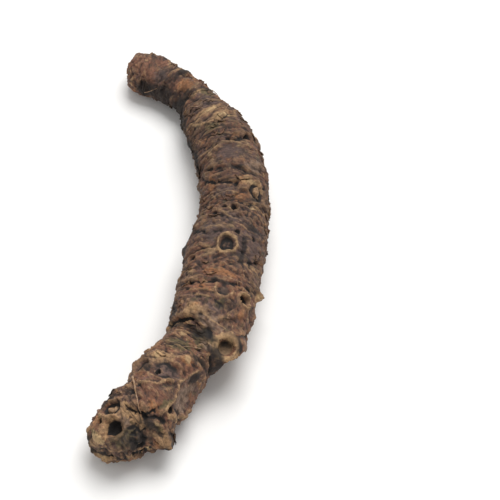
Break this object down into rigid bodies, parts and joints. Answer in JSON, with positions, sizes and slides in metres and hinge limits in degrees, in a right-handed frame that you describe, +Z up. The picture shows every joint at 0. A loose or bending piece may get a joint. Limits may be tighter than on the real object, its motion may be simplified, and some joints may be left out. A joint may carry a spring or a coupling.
{
  "type": "kutki root",
  "caption": "Dried piece of kutki root: a short, curved, tapering rhizome with wrinkled bark, round root scars and a knobbed crown, lying on its side.",
  "frame": {"origin": "the middle of the box round the root, on the surface that it rests on", "axes": "+Z up from that surface, +Y along the root's length towards its thin end, crown towards -Y, and +X on the outer side of its bend"},
  "size_m": [0.0185, 0.0516, 0.0085],
  "materials": {
    "bark": "dull, dry and rough grey-brown bark, lighter on ridges and scar rims, nearly black in creases"
  },
  "bodies": {
    "root": {"kutki_root": "bark"}
  },
  "joints": []
}
